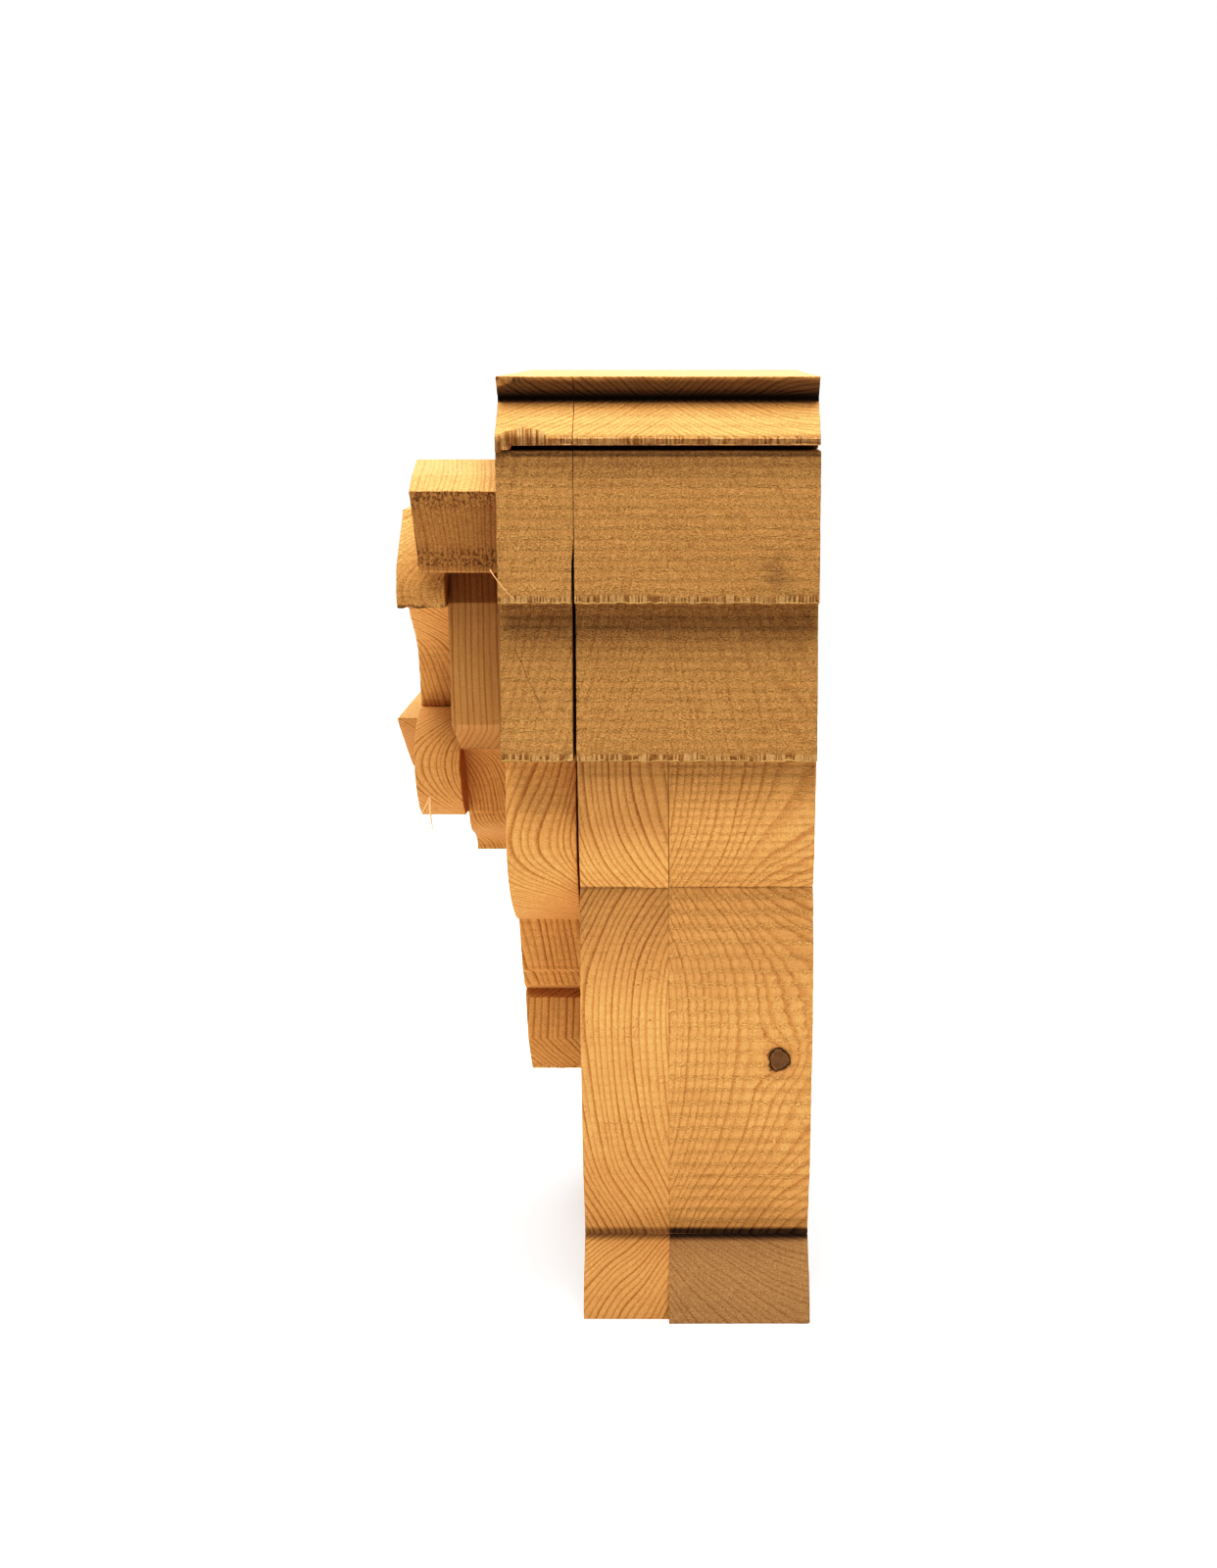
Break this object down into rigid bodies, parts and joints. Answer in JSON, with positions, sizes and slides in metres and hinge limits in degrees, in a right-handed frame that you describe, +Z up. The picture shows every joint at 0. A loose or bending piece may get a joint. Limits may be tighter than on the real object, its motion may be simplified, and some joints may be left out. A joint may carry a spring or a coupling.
{
  "type": "giant tumbling tower",
  "caption": "Free-standing tower of sawn softwood blocks with stepped fronts and overhanging side blocks that pull out, lift off or slide off hidden dowels.",
  "frame": {"origin": "centre of the base of the bounding box, on the ground", "axes": "+Z up along the tower, +X to the right and +Y to the back, seen from the stepped front"},
  "size_m": [0.272, 0.277, 0.59],
  "materials": {
    "face_wood": "rough-sawn pine with horizontal saw marks and torn edges",
    "leg_wood": "sawn pine with strong growth rings and a knot",
    "side_wood": "sawn pine, darker and more pitted",
    "dowel_wood": "smooth turned hardwood"
  },
  "bodies": {
    "frame": {"leg_middle": "leg_wood", "leg_right": "leg_wood", "foot_middle": "leg_wood", "foot_right": "leg_wood", "lower_left_block": "leg_wood", "lower_middle_block": "leg_wood", "recess_block": "side_wood", "tail_block": "side_wood", "bulge_block": "side_wood", "dowels_leg": "dowel_wood", "dowels_bracket": "dowel_wood", "dowels_nub": "dowel_wood"},
    "cap_left": {"cap_left": "face_wood"},
    "cap_middle": {"cap_middle": "face_wood"},
    "cap_right": {"cap_right": "face_wood"},
    "upper_left": {"upper_left_block": "face_wood", "dowel_shoulder": "dowel_wood"},
    "upper_middle": {"upper_middle_block": "face_wood"},
    "upper_right": {"upper_right_block": "face_wood"},
    "middle_left": {"middle_left_block": "face_wood"},
    "middle_middle": {"middle_middle_block": "face_wood"},
    "middle_right": {"middle_right_block": "face_wood"},
    "lower_right": {"lower_right_block": "leg_wood"},
    "ledge": {"ledge_block": "side_wood"},
    "lintel": {"lintel_block": "side_wood"},
    "shoulder": {"shoulder_block": "side_wood"},
    "perch": {"perch_block": "side_wood"},
    "outer": {"outer_block": "side_wood"},
    "nub": {"nub_block": "side_wood"},
    "shin": {"shin_block": "leg_wood"},
    "heel": {"heel_block": "leg_wood"}
  },
  "joints": [
    {"name": "cap_left_slide", "type": "slide", "parent": "frame", "child": "cap_left", "axis": [0, 0, 1], "range_m": [0, 0.12]},
    {"name": "cap_middle_slide", "type": "slide", "parent": "frame", "child": "cap_middle", "axis": [0, 0, 1], "range_m": [0, 0.12]},
    {"name": "cap_right_slide", "type": "slide", "parent": "frame", "child": "cap_right", "axis": [0, 0, 1], "range_m": [0, 0.12]},
    {"name": "upper_left_slide", "type": "slide", "parent": "frame", "child": "upper_left", "axis": [0, -1, 0], "range_m": [0, 0.27]},
    {"name": "upper_middle_slide", "type": "slide", "parent": "frame", "child": "upper_middle", "axis": [0, -1, 0], "range_m": [0, 0.27]},
    {"name": "upper_right_slide", "type": "slide", "parent": "frame", "child": "upper_right", "axis": [0, -1, 0], "range_m": [0, 0.27]},
    {"name": "middle_left_slide", "type": "slide", "parent": "frame", "child": "middle_left", "axis": [0, -1, 0], "range_m": [0, 0.27]},
    {"name": "middle_middle_slide", "type": "slide", "parent": "frame", "child": "middle_middle", "axis": [0, -1, 0], "range_m": [0, 0.27]},
    {"name": "middle_right_slide", "type": "slide", "parent": "frame", "child": "middle_right", "axis": [0, -1, 0], "range_m": [0, 0.27]},
    {"name": "lower_right_slide", "type": "slide", "parent": "frame", "child": "lower_right", "axis": [0, -1, 0], "range_m": [0, 0.27]},
    {"name": "ledge_slide", "type": "slide", "parent": "frame", "child": "ledge", "axis": [0, -1, 0], "range_m": [0, 0.205]},
    {"name": "lintel_slide", "type": "slide", "parent": "frame", "child": "lintel", "axis": [0, 0, 1], "range_m": [0, 0.08]},
    {"name": "shoulder_slide", "type": "slide", "parent": "upper_left", "child": "shoulder", "axis": [-1, 0, 0], "range_m": [0, 0.08]},
    {"name": "perch_slide", "type": "slide", "parent": "frame", "child": "perch", "axis": [-1, 0, 0], "range_m": [0, 0.1]},
    {"name": "outer_slide", "type": "slide", "parent": "frame", "child": "outer", "axis": [-1, 0, 0], "range_m": [0, 0.1]},
    {"name": "nub_slide", "type": "slide", "parent": "frame", "child": "nub", "axis": [-1, 0, 0], "range_m": [0, 0.05]},
    {"name": "shin_slide", "type": "slide", "parent": "frame", "child": "shin", "axis": [-1, 0, 0], "range_m": [0, 0.09]},
    {"name": "heel_slide", "type": "slide", "parent": "frame", "child": "heel", "axis": [-1, 0, 0], "range_m": [0, 0.09]}
  ]
}
